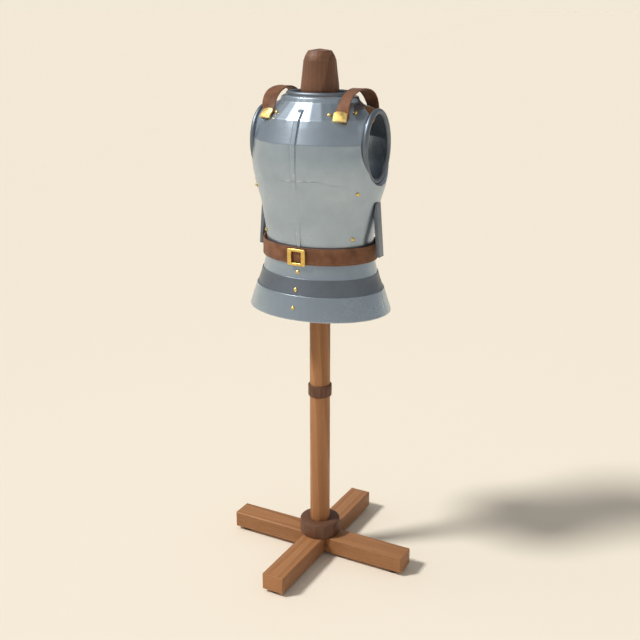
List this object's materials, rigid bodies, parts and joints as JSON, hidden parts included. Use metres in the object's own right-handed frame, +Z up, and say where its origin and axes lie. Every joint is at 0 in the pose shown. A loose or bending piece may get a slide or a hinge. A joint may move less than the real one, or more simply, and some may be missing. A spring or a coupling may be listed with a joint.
{
  "type": "steel cuirass on wooden display stand",
  "caption": "Steel breastplate and backplate with a three-band skirt, leather shoulder straps and belt, brass fittings, on a turned wooden post with a cross foot",
  "frame": {"origin": "on the floor under the middle of the post, centre of the cross foot", "axes": "+Z up along the post, the front of the armour faces -Y, +X is the wearer's left"},
  "size_m": [0.58, 0.58, 1.505],
  "materials": {
    "steel": "satin forged plate, light blue-grey, faint hammer marks and fine scratches",
    "dark_steel": "darkened satin steel with brighter worn edges",
    "leather": "waxed brown strap leather with stitched edges and a fine grain",
    "brass": "polished cast brass, slightly dulled in the corners",
    "wood": "oiled reddish-brown hardwood with long straight grain",
    "dark_wood": "dark stained turned hardwood, satin",
    "foot_pad": "plain dark pads under the legs"
  },
  "bodies": {
    "root": {"breastplate": "steel", "backplate": "steel", "fauld_lame_1": "steel", "culet_lame_1": "steel", "fauld_lame_3": "steel", "culet_lame_3": "steel", "neck_roll_front": "dark_steel", "neck_roll_back": "dark_steel", "arm_roll_front_left": "dark_steel", "arm_roll_front_right": "dark_steel", "arm_roll_back_left": "dark_steel", "arm_roll_back_right": "dark_steel", "fauld_lame_2": "dark_steel", "culet_lame_2": "dark_steel", "side_plate_left": "dark_steel", "side_plate_right": "dark_steel", "shoulder_strap_left": "leather", "shoulder_strap_right": "leather", "belt": "leather", "strap_plate_left": "brass", "strap_plate_right": "brass", "belt_buckle": "brass", "strap_rivet_inner_left": "brass", "strap_rivet_inner_right": "brass", "strap_rivet_outer_left": "brass", "strap_rivet_outer_right": "brass", "chest_rivet_left": "brass", "chest_rivet_right": "brass", "waist_rivet_left": "brass", "waist_rivet_right": "brass", "fauld_rivet_1": "brass", "fauld_rivet_2": "brass", "fauld_rivet_3": "brass", "culet_rivet_1": "brass", "culet_rivet_2": "brass", "culet_rivet_3": "brass", "post": "wood", "shoulder_bar": "wood", "base_leg_x": "wood", "base_leg_y": "wood", "neck_block": "dark_wood", "post_ring": "dark_wood", "base_collar": "dark_wood", "foot_front": "foot_pad", "foot_back": "foot_pad", "foot_left": "foot_pad", "foot_right": "foot_pad"}
  },
  "joints": []
}
